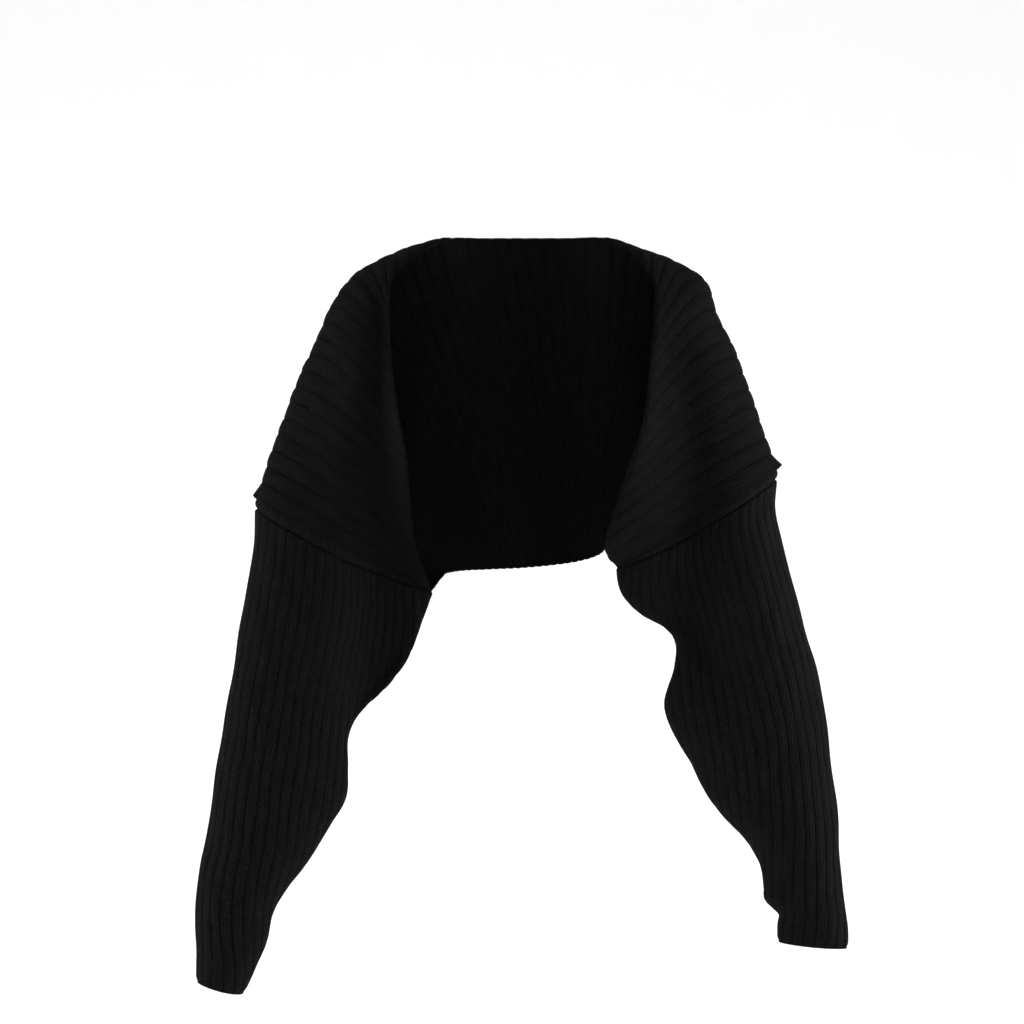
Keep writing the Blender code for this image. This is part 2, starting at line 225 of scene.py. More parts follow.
# %% Knit measurements
WALL = 2.4                      # cloth in the valley between two ribs
BODY_RIB_HEIGHT = 1.3           # crest of a rib above its valley
SLEEVE_RIB_HEIGHT = 1.55
BODY_RIBS = 50                  # from one sleeve seam to the other
SLEEVE_RIB_PITCH = 11.8
SEAM_LIP = 0.6                  # the panel's end stands out this far, all round its seam
FLAP_LEFT, FLAP_RIGHT = 6.4, 8.9    # and this much further at the shoulder's outer line
FLAP_WIDTH = 12.0               # how far round the seam that small point reaches
SEAM_TURN = 3.0                 # ribs over which the cloth turns into the seam's plane
SEAM_OVERLAP = 0.8              # how far panel and sleeve reach past their seam, together
EDGE_GAP = 0.9                  # between the ends of front edge and hem, under the arm
PLAIN_BAND = 10.0               # sleeve without ribs, next to the seam, in mm
BAND_BOW = 8.0                  # the band is this much wider halfway round
BAND_ROLL = 1.6                 # the band swells by this
BAND_GROOVE = 1.5               # and a line this deep parts it from the ribs


def table(names, *rows):
    """A short table: one array of numbers for each named column."""
    return {name: np.array(column, float) for name, column in zip(names.split(), zip(*rows))}


print(f"ribs: {BODY_RIBS} on the panel, {BODY_RIB_HEIGHT} and {SLEEVE_RIB_HEIGHT} mm high")

# %% The panel's lines
RIDGE = table(                  # the top line of the shoulders, from one sleeve seam to the other
    "x      y    z",
    (-303, -60, -299), (-285, -59, -243), (-260, -57, -175), (-230, -55, -107),
    (-216, -54, -75), (-194, -53, -47), (-161, -52, -27), (-121, -52, -12),
    (-87, -46, -4), (-45, -12, -1), (0, 0, 0), (45, -12, -1), (88, -46, -4),
    (127, -52, -17), (163, -52, -31), (199, -53, -53), (213, -54, -92),
    (237, -55, -142), (260, -57, -209), (280, -58, -266))
EDGE_LEFT = table(              # the front edges, from the side of the neck to the underarm
    "x      y    z",
    (-87, -46, -4), (-113, -70, -18), (-137, -92, -36), (-151, -110, -56),
    (-153, -130, -95), (-150, -148, -146), (-143, -158, -199), (-136, -146, -242),
    (-131, -112, -300), (-127, -72, -350), (-110, -22, -403))
EDGE_RIGHT = table(
    "x      y    z",
    (88, -46, -4), (113, -70, -18), (130, -90, -36), (141, -108, -59),
    (141, -130, -100), (135, -150, -155), (128, -163, -208), (115, -160, -252),
    (101, -148, -295), (88, -128, -341), (90, -110, -360), (102, -95, -374))
HEM = table(
    "x      y    z",
    (-110, -22, -403), (-102, -17, -391), (-96, -2, -385), (-93, 20, -382),
    (-76, 45, -380), (-44, 60, -379), (0, 63, -377), (52, 58, -371),
    (82, 40, -362), (91, 12, -350), (90, -22, -339), (86, -52, -334),
    (87, -75, -341), (92, -88, -355), (102, -95, -374))
BODY_FULLNESS = table(          # place -1 is behind the neck, 0 at its side, 1 at the sleeve
    "place  front  back  pinch  front_turn  back_turn",
    (-1.0, 0, 36, 0.00, 80, 120),
    (0.0, 4, 40, 0.00, 80, 120),
    (0.2, 22, 48, 0.00, 95, 124),
    (0.4, 38, 56, 0.05, 110, 132),
    (0.6, 50, 62, 0.15, 125, 145),
    (0.8, 58, 62, 0.30, 150, 165),
    (1.0, 62, 58, 0.45, 180, 180))
print("rows of the ridge, front edges and hem:",
      [len(line["x"]) for line in (RIDGE, EDGE_LEFT, EDGE_RIGHT, HEM)])

# %% The sleeves' sections
SLEEVE_LEFT = table(            # outer line, underarm line and fullness
    "outer_x outer_y outer_z   under_x under_y under_z   front back pinch",
    (-303, -60, -299, -110, -22, -403, 62, 58, 0.45),
    (-304, -62, -336, -119, -26, -428, 60, 56, 0.45),
    (-308, -64, -373, -128, -32, -453, 58, 54, 0.42),
    (-314, -66, -409, -138, -40, -478, 56, 52, 0.38),
    (-320, -68, -444, -160, -50, -508, 53, 50, 0.34),
    (-325, -70, -478, -192, -59, -539, 50, 48, 0.30),
    (-332, -72, -518, -205, -64, -567, 48, 46, 0.26),
    (-339, -74, -563, -205, -67, -601, 47, 45, 0.22),
    (-346, -76, -602, -207, -69, -634, 46, 43, 0.18),
    (-351, -79, -640, -225, -73, -665, 44, 41, 0.14),
    (-356, -82, -679, -249, -78, -704, 41, 38, 0.10),
    (-363, -85, -711, -273, -83, -735, 38, 36, 0.06),
    (-367, -88, -744, -288, -87, -762, 35, 33, 0.04),
    (-368, -91, -777, -294, -90, -792, 32, 31, 0.02),
    (-366, -94, -808, -306, -93, -820, 30, 29, 0.00),
    (-366, -96, -836, -319, -96, -849, 29, 28, 0.00))
SLEEVE_RIGHT = table(
    "outer_x outer_y outer_z   under_x under_y under_z   front back pinch",
    (280, -58, -266, 102, -95, -374, 50, 72, 0.45),
    (277, -60, -305, 108, -95, -402, 50, 68, 0.45),
    (284, -62, -345, 128, -94, -424, 50, 64, 0.42),
    (292, -64, -379, 157, -90, -441, 50, 60, 0.38),
    (300, -66, -410, 170, -86, -462, 50, 56, 0.34),
    (309, -68, -444, 167, -84, -493, 50, 54, 0.30),
    (320, -70, -480, 157, -82, -528, 50, 51, 0.26),
    (327, -72, -514, 167, -82, -560, 49, 49, 0.22),
    (333, -74, -548, 186, -82, -592, 48, 47, 0.18),
    (337, -77, -587, 203, -83, -626, 46, 45, 0.14),
    (342, -80, -626, 223, -84, -653, 43, 42, 0.10),
    (345, -83, -661, 248, -86, -679, 40, 39, 0.06),
    (346, -86, -695, 264, -89, -707, 36, 36, 0.04),
    (349, -89, -728, 268, -91, -733, 32, 32, 0.02),
    (351, -91, -744, 269, -92, -746, 30, 30, 0.01),
    (353, -92, -759, 284, -93, -761, 28, 28, 0.00),
    (355, -94, -779, 283, -95, -775, 24, 24, 0.00),
    (355, -96, -799, 283, -96, -792, 21, 21, 0.00))
print("sleeve sections:", len(SLEEVE_LEFT["front"]), "and", len(SLEEVE_RIGHT["front"]))

# %% [markdown]
# ## Folds
#
# Knit this thick makes a few broad, soft folds, where the cloth sags between the shoulder and
# the underarm. Each one is a line with a width and a depth, pressed into the sections before
# the ribs are raised, so that the ribs ride over it. The two deep ones in front also press back
# the panel's front edge, which turns inwards there.
#
# A fold runs from x0, z0 to x1, z1. Side -1 is the front and 1 the back, and spread makes it
# wider on the side of the front edge.

# %% Folds
EDGE_GIVE = 0.6                 # the part of a fold's depth that reaches the panel's front edge
FOLD_FADE = 0.2                 # a fold sets in over this share of a section's length
FOLD_RUNOUT = 2                 # past its ends a fold fades over this many widths
FOLDS = table(
    "x0     z0     x1     z1    width depth side spread",
    (-149, -120, -178, -475, 28, 31, -1, 1.8),
    (-196, -520, -176, -560, 11, 5, -1, 1.0),
    (166, -165, 206, -460, 31, 23, -1, 1.45),
    (160, -395, 200, -470, 12, 5, -1, 1.0),
    (-118, -170, -145, -380, 24, 9, 1, 1.0),
    (122, -170, 145, -360, 24, 9, 1, 1.0),
    (-205, -270, -215, -470, 22, 8, 1, 1.0),
    (205, -250, 215, -450, 22, 8, 1, 1.0))


def fold(half, side, give):
    """A half section with the folds pressed into it; give is their share at its end."""
    half = half.copy()
    from_start = np.linspace(0, 1, len(half))
    near_start, near_end = (np.sin(np.clip(part / FOLD_FADE, 0, 1) * pi / 2)
                            for part in (from_start, 1 - from_start))
    near_ends = near_start * (give + (1 - give) * near_end)
    for x0, z0, x1, z1, width, depth, fold_side, spread in zip(*FOLDS.values()):
        if fold_side != side:
            continue
        start, run = np.array([x0, z0]), np.array([x1 - x0, z1 - z0])
        offset = half[:, (0, 2)] - start
        length = np.hypot(*run)
        forward = offset @ run / length
        sideways = (offset[:, 0] * run[1] - offset[:, 1] * run[0]) / length
        past_end = np.maximum(np.maximum(-forward, forward - length), 0)
        wide = np.where(sideways * np.sign(x0) > 0, width * spread, width)
        away = np.hypot(sideways / wide, past_end / (FOLD_RUNOUT * width))
        half[:, 1] -= side * depth * np.exp(-away ** 2) * near_ends
    return half


print("folds:", len(FOLDS["x0"]))

# %% [markdown]
# ## Lines and sections
#
# Every line of the garment comes from a few measured points. A Catmull-Rom curve runs through
# all of them without a corner, and needs no handles to be set by hand. Distances
# along a line say where on the cloth a point lies. Half a section is half an oval, which may
# draw in towards its end, with the folds pressed into it.

# %% Curve helpers
FINE_STEPS = 24                 # steps of a smooth line from one measured row to the next
HALF_STEPS = 96                 # steps of half a section


def points_of(columns, prefix=""):
    """A table's x, y and z columns as points."""
    return np.stack([columns[prefix + axis] for axis in "xyz"], axis=1)


def spline(rows, place):
    """Smooth values between the rows (Catmull-Rom); place 0 is the first row, 1 the next."""
    rows = np.asarray(rows, float)
    place = np.clip(np.asarray(place, float), 0, len(rows) - 1)
    start = np.minimum(place.astype(int), len(rows) - 2)
    part = place - start
    if rows.ndim > 1:
        part = part[..., None]
    before, first = rows[np.maximum(start - 1, 0)], rows[start]
    last, after = rows[start + 1], rows[np.minimum(start + 2, len(rows) - 1)]
    return first + 0.5 * part * (
        last - before + part * (
            2 * before - 5 * first + 4 * last - after + part * (
                3 * (first - last) + after - before)))


def distances(line):
    """How far along the line each of its points lies."""
    steps = np.linalg.norm(np.diff(line, axis=0), axis=1)
    return np.concatenate([[0.0], np.cumsum(steps)])


def along(line, at, line_at=None):
    """The points at given distances along a line."""
    here = distances(line) if line_at is None else line_at
    return np.stack([np.interp(at, here, line[:, axis]) for axis in range(3)], axis=1)


def fine(points):
    """The smooth line through measured points."""
    last = len(points) - 1
    return spline(points, np.linspace(0, last, FINE_STEPS * last + 1))


def half_section(outer, end, bulge, pinch, turn, side, give=0):
    """Half a section, from the outer line round the front (-1) or the back (1) to its end."""
    angle = np.linspace(0, np.radians(turn), HALF_STEPS + 1)
    reach = (1 - np.cos(angle)) / (1 - np.cos(angle[-1]))
    out = (np.sin(angle) - reach * np.sin(angle[-1])) * bulge * (1 - pinch * reach)
    half = outer + reach[:, None] * (end - outer)
    half[:, 1] += side * out
    return fold(half, side, give)


def unit(vectors):
    """The same directions with length 1."""
    return vectors / np.linalg.norm(vectors, axis=-1, keepdims=True)


print("halfway between 0, 1 and 4:", [round(float(v), 2) for v in spline([0, 1, 4], [0.5, 1.5])])

# %% [markdown]
# ## One rib of the panel
#
# On the real panel each rib runs from the front edge, over the shoulder and down the back to the
# hem. The function gives that line for any place between the two sleeve seams, so the whole
# panel is simply this line, moved sideways.

# %% One rib's line
RIDGE_LINE = fine(points_of(RIDGE))
RIDGE_AT = distances(RIDGE_LINE)
NECK_X = (EDGE_LEFT["x"][0], EDGE_RIGHT["x"][0])
NECK_AT = [RIDGE_AT[FINE_STEPS * int(np.argmin(np.abs(RIDGE["x"] - x)))] for x in NECK_X]
LINES = {name: fine(points_of(rows)) for name, rows in
         (("hem", HEM), ("left", EDGE_LEFT), ("right", EDGE_RIGHT))}
LENGTHS = {name: distances(line) for name, line in LINES.items()}


def body_rib(rib):
    """A rib's line from the front edge or neck to the hem; rib counts from 0 to BODY_RIBS."""
    share = rib / BODY_RIBS
    at = RIDGE_AT[-1] * share
    ridge = along(RIDGE_LINE, [at], RIDGE_AT)[0]
    hem = along(LINES["hem"], [LENGTHS["hem"][-1] * share], LENGTHS["hem"])[0]
    if at < NECK_AT[0]:
        place, edge, full = 1 - at / NECK_AT[0], "left", SLEEVE_LEFT
    elif at > NECK_AT[1]:
        place = (at - NECK_AT[1]) / (RIDGE_AT[-1] - NECK_AT[1])
        edge, full = "right", SLEEVE_RIGHT
    else:
        middle = (NECK_AT[0] + NECK_AT[1]) / 2
        place, edge, full = abs(at - middle) / (NECK_AT[1] - middle) - 1, None, SLEEVE_LEFT
    size = {name: np.interp(place, BODY_FULLNESS["place"], BODY_FULLNESS[name])
            for name in BODY_FULLNESS}
    for name in ("front", "back"):
        size[name] *= 1 + max(place, 0) ** 2 * (full[name][0] / BODY_FULLNESS[name][-1] - 1)
    gap = np.array([0, EDGE_GAP / 2, 0]) * max(place, 0) ** 8
    back = half_section(ridge, hem + gap, size["back"], size["pinch"], size["back_turn"], 1)
    if edge is None:
        return back
    start = along(LINES[edge], [LENGTHS[edge][-1] * place], LENGTHS[edge])[0]
    front = half_section(ridge, start - gap, size["front"], size["pinch"],
                         size["front_turn"], -1, EDGE_GIVE * (1 - max(place, 0) ** 4))
    return np.concatenate([front[::-1], back[1:]])


print(f"panel: {RIDGE_AT[-1]:.0f} mm across the ribs, hem {LENGTHS['hem'][-1]:.0f} mm, "
      f"front edges {LENGTHS['left'][-1]:.0f} and {LENGTHS['right'][-1]:.0f} mm")

# %% [markdown]
# ## From a flat grid to knitted cloth
#
# A knitted piece begins as `create_grid`, with one line of points for each part of a rib. The
# grid is extruded once to give it a face and a back, like two skins. Each point then moves to
# its place. The lines are drawn closer together in the valleys, because a rib is broad and
# round on top and has a narrow, dark valley on each side.

# %% Flat grid with two skins
VALLEY_PULL = 0.72              # how strongly the lines crowd into the valleys
CREST_POWER = 3.6               # a higher power makes ribs broader and valleys narrower


def crowd(phase):
    """Move evenly spaced rib phases towards the valleys, which are at whole numbers."""
    return phase - VALLEY_PULL * np.sin(2 * pi * phase) / (2 * pi)


def crest(phase):
    """Height over the valley, from 0 to 1: a broad round rib with narrow valleys."""
    away = np.abs(2 * np.mod(phase, 1) - 1)
    return 1 - away ** CREST_POWER


def flat_grid(columns, rows):
    """A flat grid, extruded once: z 0 is the cloth's back, z 1 its face."""
    cloth = bmesh.new()
    bmesh.ops.create_grid(cloth, x_segments=columns, y_segments=rows, size=0.5)
    face = bmesh.ops.extrude_face_region(cloth, geom=cloth.faces[:], use_keep_orig=True)
    lifted = [v for v in face["geom"] if isinstance(v, bmesh.types.BMVert)]
    bmesh.ops.translate(cloth, verts=lifted, vec=(0, 0, 1))
    return cloth


def place_grid(cloth, columns, rows, back, face, flat_u, flat_v, ribs_from, deep):
    """Carry each point to its place on the back or the face, and store its flat place.

    The second map stores how far past the ribs' start a point lies, and how deep the ribs are."""
    plan = cloth.loops.layers.uv.new("flat_cut")
    start = cloth.loops.layers.uv.new("ribs_from")
    cloth.verts.index_update()
    where = []
    for vert in cloth.verts:
        i = int(round((vert.co.x + 0.5) * columns))
        j = int(round((vert.co.y + 0.5) * rows))
        where.append((i, j))
        skin = face if vert.co.z > 0.5 else back
        vert.co = Vector(skin[i, j]) * MM
    for polygon in cloth.faces:
        for loop in polygon.loops:
            i, j = where[loop.vert.index]
            loop[plan].uv = (flat_u[i, j] * MM, flat_v[i, j] * MM)
            loop[start].uv = (ribs_from[i, j] * MM, deep[i, j])
    bmesh.ops.recalc_face_normals(cloth, faces=cloth.faces[:])


def spaced_rows(count, edge_steps):
    """Shares from 0 to 1, with the given small steps at both ends for a rounded edge."""
    ends = np.array(edge_steps, float)
    inner = np.linspace(ends[-1], 1 - ends[-1], count - 2 * len(ends) + 3)
    return np.concatenate([ends[:-1], inner, 1 - ends[:-1][::-1]])


print("crest at phases 0, 0.1, 0.25, 0.5:", [round(float(crest(p)), 2) for p in (0, .1, .25, .5)])

# %% [markdown]
# ## The panel
#
# The panel's ribs are lines of the grid. They are deep over the shoulder and pulled flatter down
# the front, where each one also arches up a little. Next to a sleeve the panel ends in a low,
# rounded edge, and at the shoulder's outer line that edge stands out in a small point. The
# knitter bound off the front edge and the hem plainly: there each rib ends in a small scallop.

# %% Panel
BODY_LINES = 8                  # lines of points to a rib
BODY_ROWS = 110
EDGE_STEPS = (0, 0.0022, 0.0060, 0.0125)    # small steps that round a bound-off edge
EDGE_THICK = 0.35               # the part of the cloth's thickness that is left at such an edge
SCALLOP = 1.3                   # a rib's end stands out past its valleys by this, in mm
RIB_WANDER = 1.0                # how far a rib strays sideways, in mm
RIPPLE = 0.9                    # how far the cloth ripples in and out, in mm
CALM_EDGE = 40                  # both grow over this many mm from the edges
RIB_BOW = 0.75                  # how far a rib arches up across the front, in rib widths
FLAT_FROM = 90                  # from here on, in mm from the shoulder ridge, ribs are flatter
SHOULDER_FADE = 50              # over this many mm they turn from deep to flat
DEEPER, FLATTER = 0.5, 0.4      # by these parts
BODY_UNEVEN = 0.10              # the part by which the ribs' height strays
INNER_RIB = 0.9                 # how far the ribs press through to the cloth's back, in mm
FLARE_WIDTH = 0.9               # the panel's end rises over this part of a rib,
FLARE_ROUND = 0.10              # is rounded off over this part
FLARE_END = 0.30                # and keeps this part of its rise at the very end


def seam_normals(loop):
    """Outward directions along a sleeve seam, in the seam's own plane, and across it."""
    middle = loop.mean(axis=0)
    across = unit(np.cross(loop[len(loop) // 4] - middle, loop[len(loop) // 2] - middle))
    out = unit(np.cross(np.gradient(loop, axis=0), across))
    return (out if np.sum((loop - middle) * out) > 0 else -out), across


def wander(u, v, size, seed):
    """A smooth, uneven value between about -1 and 1, with waves of about the size in mm."""
    return (np.sin(u / size + 1.7 * seed) * np.sin(v / (1.3 * size) + 2.9 * seed)
            + 0.6 * np.sin(u / (0.43 * size) - v / (0.71 * size) + 4.1 * seed)) / 1.6


def uneven(base, flat_u, flat_v, side):
    """Let the ribs wander a little and the cloth ripple, less towards the piece's edges."""
    across, ahead = unit(np.gradient(base, axis=0)), unit(np.gradient(base, axis=1))
    out = unit(np.cross(across, ahead)) * side
    from_ends = np.minimum(flat_v, flat_v[:, -1:] - flat_v)
    from_sides = np.minimum(flat_u - flat_u[:1], flat_u[-1:] - flat_u)
    calm = np.clip(np.minimum(from_ends, from_sides) / CALM_EDGE, 0, 1) ** 0.7
    return (base + across * (RIB_WANDER * calm * wander(flat_u, flat_v, 26, 3))[..., None]
            + out * (RIPPLE * calm * wander(flat_u, flat_v, 17, 5))[..., None])


def ridge_places(base, marks, at):
    """How far along each rib's line it crosses the shoulder ridge."""
    ridge = along(RIDGE_LINE, marks / BODY_RIBS * RIDGE_AT[-1], RIDGE_AT)
    nearest = np.argmin(np.linalg.norm(base - ridge[:, None], axis=2), axis=1)
    return at[np.arange(len(marks)), nearest][:, None]


def arched(base, marks, at, to_ridge):
    """Slide the ribs along the cloth, so that each one arches up between shoulder and edge."""
    slid = base.copy()
    for low, high, up in ((0, NECK_AT[0], 1), (NECK_AT[1], RIDGE_AT[-1], -1)):
        low, high = low / RIDGE_AT[-1] * BODY_RIBS, high / RIDGE_AT[-1] * BODY_RIBS
        side = np.flatnonzero((marks >= low) & (marks <= high))
        part = np.clip(at[side] / np.maximum(to_ridge[side], 1), 0, 1)
        middle = np.sin(pi * (marks[side] - low) / (high - low))[:, None] ** 0.7
        shift = up * RIB_BOW * middle * np.sin(pi * part)
        for j in range(base.shape[1]):
            for axis in range(3):
                slid[side, j, axis] = np.interp(marks[side] + shift[:, j], marks[side],
                                                base[side, j, axis])
    return slid


def panel_skins():
    """Back, face and flat places of every point of the panel."""
    columns = BODY_RIBS * BODY_LINES
    marks = np.linspace(0, BODY_RIBS, columns + 1)
    marks = np.clip(crowd(marks), 0, BODY_RIBS)
    rows = spaced_rows(BODY_ROWS, EDGE_STEPS)
    base = np.zeros((columns + 1, len(rows), 3))
    length = np.zeros(columns + 1)
    for i, rib in enumerate(marks):
        line = body_rib(rib)
        here = distances(line)
        length[i] = here[-1]
        base[i] = along(line, rows * here[-1], here)
    flat_u = np.repeat((marks / BODY_RIBS * RIDGE_AT[-1])[:, None], len(rows), axis=1)
    flat_v = rows[None, :] * length[:, None]
    to_ridge = ridge_places(base, marks, flat_v)
    base = uneven(arched(base, marks, flat_v, to_ridge), flat_u, flat_v, 1)
    out = unit(np.cross(np.gradient(base, axis=0), np.gradient(base, axis=1)))
    # the ribs are deep on the shoulder and pulled flatter down the front
    on_shoulder = np.clip((FLAT_FROM - np.abs(flat_v - to_ridge)) / SHOULDER_FADE, 0, 1)
    on_shoulder *= to_ridge > 0
    deep = 1 + DEEPER * on_shoulder - FLATTER * (1 - on_shoulder) * (flat_v < to_ridge)
    round_edge = np.sin(np.clip(np.minimum(rows, 1 - rows) / EDGE_STEPS[-1], 0, 1) * pi / 2)
    height = crest(marks)[:, None] * BODY_RIB_HEIGHT * (
        1 + BODY_UNEVEN * wander(flat_u, flat_v, 31, 1)) * (
            1 - FLATTER * (1 - np.minimum(deep, 1)))
    lift = np.full_like(flat_u, WALL)
    for rib, toward, flap in ((0, 1, FLAP_LEFT), (BODY_RIBS, -1, FLAP_RIGHT)):
        from_seam = np.abs(marks - rib)
        end = 0 if rib == 0 else -1
        normal, across = seam_normals(base[end])
        near = np.clip(1 - from_seam / SEAM_TURN, 0, 1)[:, None, None]
        out = unit(out * (1 - near) + near * normal)
        ridge = points_of(RIDGE)[end]
        from_ridge = np.linalg.norm(base[end] - ridge, axis=1)
        lip = SEAM_LIP + flap * np.exp(-(from_ridge / FLAP_WIDTH) ** 3)
        flare = np.clip(1 - from_seam / FLARE_WIDTH, 0, 1)[:, None] ** 1.4
        rounded = np.sqrt(1 - (1 - np.clip(from_seam / FLARE_ROUND, 0, 1)) ** 2)[:, None]
        flare = flare * (FLARE_END + (1 - FLARE_END) * rounded)
        height *= 1 - np.clip(1 - from_seam, 0, 1)[:, None] ** 2
        lift += flare * lip
        base[end] -= across * np.sign(across[0]) * toward * SEAM_OVERLAP / 2
    rise = EDGE_THICK + (1 - EDGE_THICK) * round_edge
    face = base + out * ((lift + height) * rise)[..., None]
    from_end = np.clip(np.minimum(marks, BODY_RIBS - marks), 0, 1)
    inside = INNER_RIB * (crest(marks + 0.5) * from_end)[:, None]
    back = base + out * (inside * round_edge)[..., None]
    # each rib's end stands out in a scallop, along the rib
    for end, step in ((0, 1), (-1, -2)):
        outward = unit(base[:, end] - base[:, step])
        push = (SCALLOP * (crest(marks) - 0.5))[:, None] * outward
        face[:, end] += push * from_end[:, None]
        back[:, end] += push * from_end[:, None]
    return columns, rows, back, face, flat_u, flat_v, deep


columns, rows, back, face, flat_u, flat_v, deep = panel_skins()
cloth = flat_grid(columns, len(rows) - 1)
place_grid(cloth, columns, len(rows) - 1, back, face, flat_u, flat_v,
           np.full_like(flat_u, 1000), deep)
body_knit = finished(cloth, "body_knit")
BODY_RIM = {"front": (back[:, 0] + face[:, 0]) / 2, "hem": (back[:, -1] + face[:, -1]) / 2}
BODY_OUT = {"front": unit(back[:, 0] - back[:, 3]), "hem": unit(back[:, -1] - back[:, -4])}

# %% [markdown]
# ## The sleeves
#
# A sleeve is knitted flat too, and then folded round and closed along the underarm. Its ribs
# run lengthwise, parallel to its outer line, so at the underarm the shaped edges cut across
# them and they run off into the seam. The heights therefore come from each point's real
# distance from the outer line, not from its place in the grid.

# %% Sleeves
SLEEVE_COLUMNS = 288
SLEEVE_ROWS = 118
SECTION_STEPS = 12              # steps of the outer line from one measured row to the next
CUFF_STEPS = (0, 0.0018, 0.0050, 0.0105)    # small steps that round the cuff's edge
TOP_ROW, TOP_END = 1.1, 27      # the rows by the plain band: their spacing and reach, in mm
SEAM_BLEND = 22                 # mm over which the sleeve turns into the seam's plane
RIB_START = 2.5                 # mm over which the ribs rise from the plain band
GROOVE_WIDTH = 1.5              # of the line that parts band and ribs
UNDER_FADE = 5                  # mm over which the ribs sink towards the underarm seam,
UNDER_RIB = 0.65                # down to this part of their height
SLEEVE_UNEVEN = 0.12            # the part by which the ribs' height strays
INNER_SLEEVE_RIB = 0.7          # how far the ribs press through to the cloth's back
WELD = 0.02                     # points of the two closing edges that are this close are sewn


def sleeve_skins(sections, side):
    """Back, face and flat places of every point of a sleeve, and its length."""
    last = len(sections["front"]) - 1
    places = np.linspace(0, last, SECTION_STEPS * last + 1)
    outer_line = spline(points_of(sections, "outer_"), places)
    down = distances(outer_line)
    share_rows = spaced_rows(SLEEVE_ROWS, CUFF_STEPS)
    top = np.arange(TOP_ROW, TOP_END, TOP_ROW) / down[-1]
    share_rows = np.concatenate([[0], top, share_rows[share_rows > top[-1] + 0.002]])
    share = np.linspace(-1, 1, SLEEVE_COLUMNS + 1)
    base = np.zeros((SLEEVE_COLUMNS + 1, len(share_rows), 3))
    flat_u = np.zeros(base.shape[:2])
    flat_v = np.repeat((share_rows * down[-1])[None, :], SLEEVE_COLUMNS + 1, axis=0)
    for j, distance in enumerate(share_rows * down[-1]):
        place = np.interp(distance, down, places)
        value = {name: float(spline(sections[name], place)) for name in sections}
        outer = np.array([value["outer_" + axis] for axis in "xyz"])
        under = np.array([value["under_" + axis] for axis in "xyz"])
        for name, sign, pick in (("back", -1, share <= 0), ("front", 1, share >= 0)):
            half = half_section(outer, under, value[name], value["pinch"], 180, -sign)
            here = distances(half)
            at = np.abs(share[pick]) * here[-1]
            base[pick, j] = along(half, at, here)
            flat_u[pick, j] = sign * at
    base = uneven(base, flat_u, flat_v, side)
    ahead = np.gradient(base, axis=0)
    ahead[0] = ahead[-1] = base[1] - base[-2]
    out = unit(np.cross(ahead, np.gradient(base, axis=1))) * side
    normal, across = seam_normals(base[:, 0])
    across = across * -np.sign(across[2])
    near = np.clip(1 - share_rows * down[-1] / SEAM_BLEND, 0, 1)[None, :, None]
    out = unit(out * (1 - near) + near * normal[:, None])
    base[:, 0] -= across * SEAM_OVERLAP / 2
    phase = np.abs(flat_u) / SLEEVE_RIB_PITCH
    place = np.abs(share)[:, None]
    band = (PLAIN_BAND + BAND_BOW * np.sin(pi * place)) * (1 - place ** 8)
    ribs_from = flat_v - band
    past_band = np.clip(ribs_from / RIB_START, 0, 1)
    groove = np.exp(-(ribs_from / GROOVE_WIDTH) ** 2)
    roll = np.sin(np.clip(flat_v / (band + 0.1), 0, 1) * pi)
    reach = np.where(share[:, None] < 0, -flat_u[:1], flat_u[-1:])
    to_seam = np.clip((reach - np.abs(flat_u)) / UNDER_FADE, 0, 1)
    end = np.sin(np.clip((1 - share_rows) / CUFF_STEPS[-1], 0, 1) * pi / 2)[None, :]
    height = crest(phase) * SLEEVE_RIB_HEIGHT * past_band * (
        UNDER_RIB + (1 - UNDER_RIB) * to_seam) * (
            1 + SLEEVE_UNEVEN * wander(flat_u, flat_v, 27, 2))
    height += BAND_ROLL * roll - BAND_GROOVE * groove
    rise = EDGE_THICK + (1 - EDGE_THICK) * end
    face = base + out * ((WALL + height) * rise)[..., None]
    inside = INNER_SLEEVE_RIB * crest(phase + 0.5) * past_band * end * to_seam
    back = base + out * inside[..., None]
    return back, face, flat_u, flat_v, ribs_from, down[-1]


def knit_sleeve(name, sections, side):
    """A whole sleeve, with the size and area of its cut, and its cuff's rim for the chain."""
    back, face, flat_u, flat_v, ribs_from, length = sleeve_skins(sections, side)
    rows = back.shape[1] - 1
    cloth = flat_grid(SLEEVE_COLUMNS, rows)
    place_grid(cloth, SLEEVE_COLUMNS, rows, back, face, flat_u, flat_v, ribs_from,
               np.ones_like(flat_u))
    bmesh.ops.remove_doubles(cloth, verts=cloth.verts[:], dist=WELD * MM)
    # the side walls of the two closing edges are inside the cloth now: each of their long
    # edges, which run down the sleeve, is shared by more than two faces
    shared = [f for f in cloth.faces if any(len(e.link_faces) > 2 for e in f.edges)]
    inner = [f for f in shared
             if all(len(e.link_faces) > 2 for e in f.edges
                    if abs(e.verts[0].co.z - e.verts[1].co.z) > 0.1 * MM)]
    bmesh.ops.delete(cloth, geom=inner, context="FACES_ONLY")
    bmesh.ops.recalc_face_normals(cloth, faces=cloth.faces[:])
    piece = finished(cloth, name)
    widths = flat_u.max(axis=0) - flat_u.min(axis=0)
    cut = (float(widths.max()) * MM, float(length) * MM)
    area = float(np.mean(widths) * length) * MM * MM
    rim = (back[:, -1] + face[:, -1]) / 2
    out = unit(back[:, -1] - back[:, -4])
    print(f"{name}: {len(piece.data.polygons)} faces, cut {cut[0]:.3f} x {cut[1]:.3f} m, "
          f"{widths[-1]:.0f} mm round at the cuff")
    return piece, cut, area, rim, out


